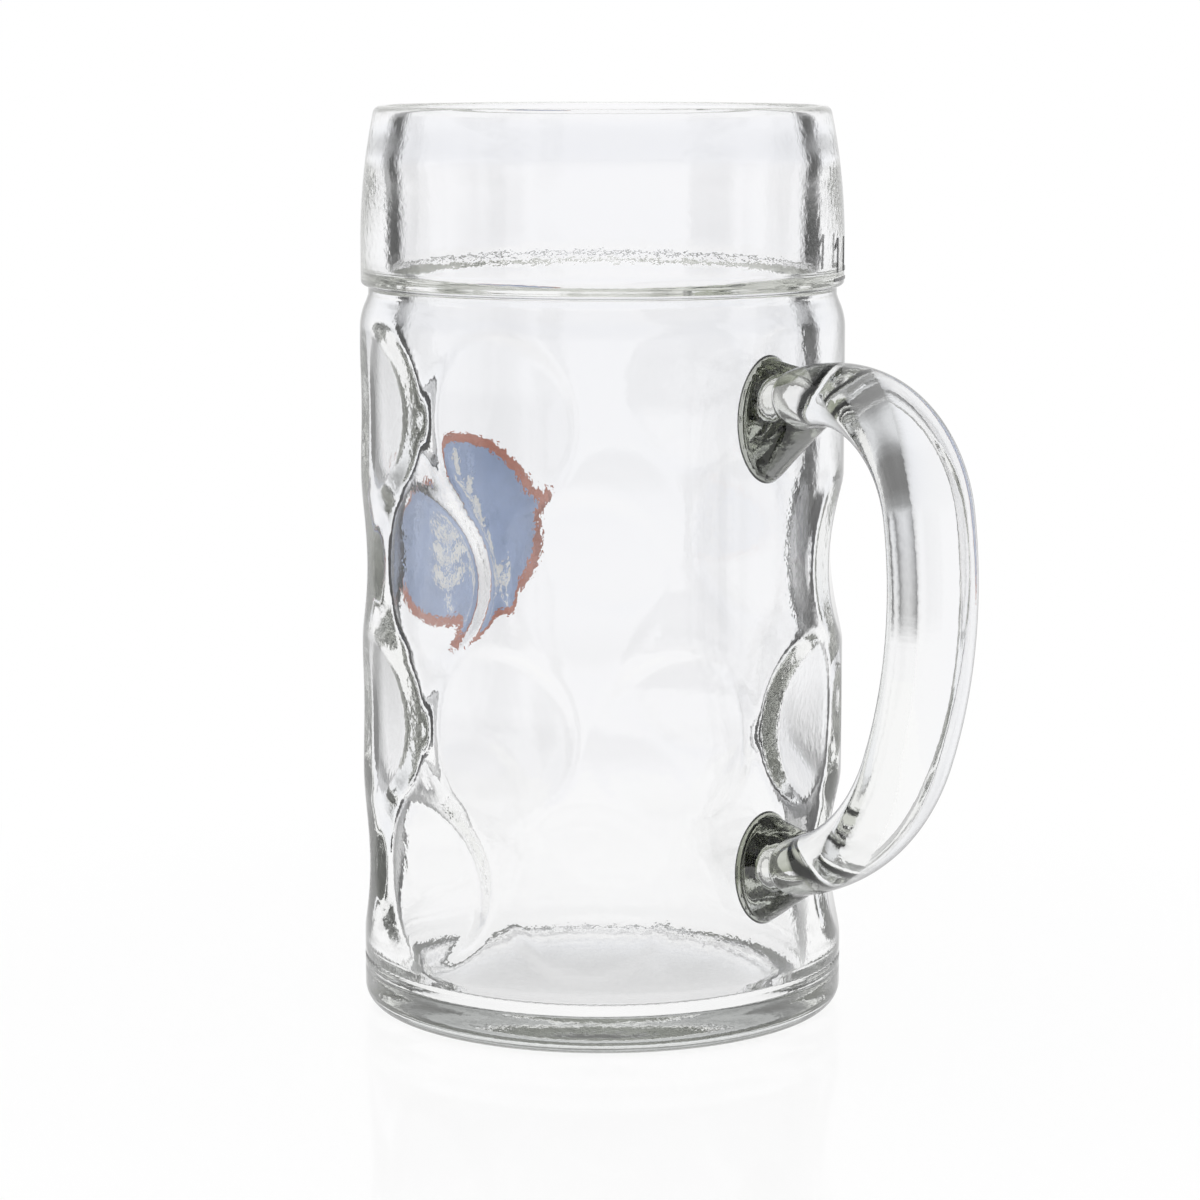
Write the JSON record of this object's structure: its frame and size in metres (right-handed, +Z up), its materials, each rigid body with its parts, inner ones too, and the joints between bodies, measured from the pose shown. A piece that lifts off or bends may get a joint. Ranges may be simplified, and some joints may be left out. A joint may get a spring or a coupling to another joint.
{
  "type": "dimpled glass beer mug",
  "caption": "Tall thick-walled glass beer mug with staggered rows of round hollows, a plain drinking band, a bow handle on two roots and small enamel marks.",
  "frame": {"origin": "on the jar's axis, in the plane of the ring that it stands on", "axes": "+Z up along the jar's axis, +X from the axis towards the handle, +Y by the right-hand rule"},
  "size_m": [0.162, 0.107, 0.2],
  "materials": {
    "clear_glass": "fire-polished clear soda-lime glass",
    "root_glass": "clear soda-lime glass, grey-green where thick, finely wrinkled",
    "red_enamel": "fired orange-red enamel",
    "blue_enamel": "fired blue enamel",
    "white_enamel": "fired white enamel",
    "black_enamel": "fired black enamel"
  },
  "bodies": {
    "root": {"jar": "clear_glass", "handle_bow": "clear_glass", "upper_handle_root": "root_glass", "lower_handle_root": "root_glass", "badge_rim": "red_enamel", "badge_field": "blue_enamel", "badge_barley_ear": "white_enamel", "fill_line": "black_enamel"}
  },
  "joints": []
}
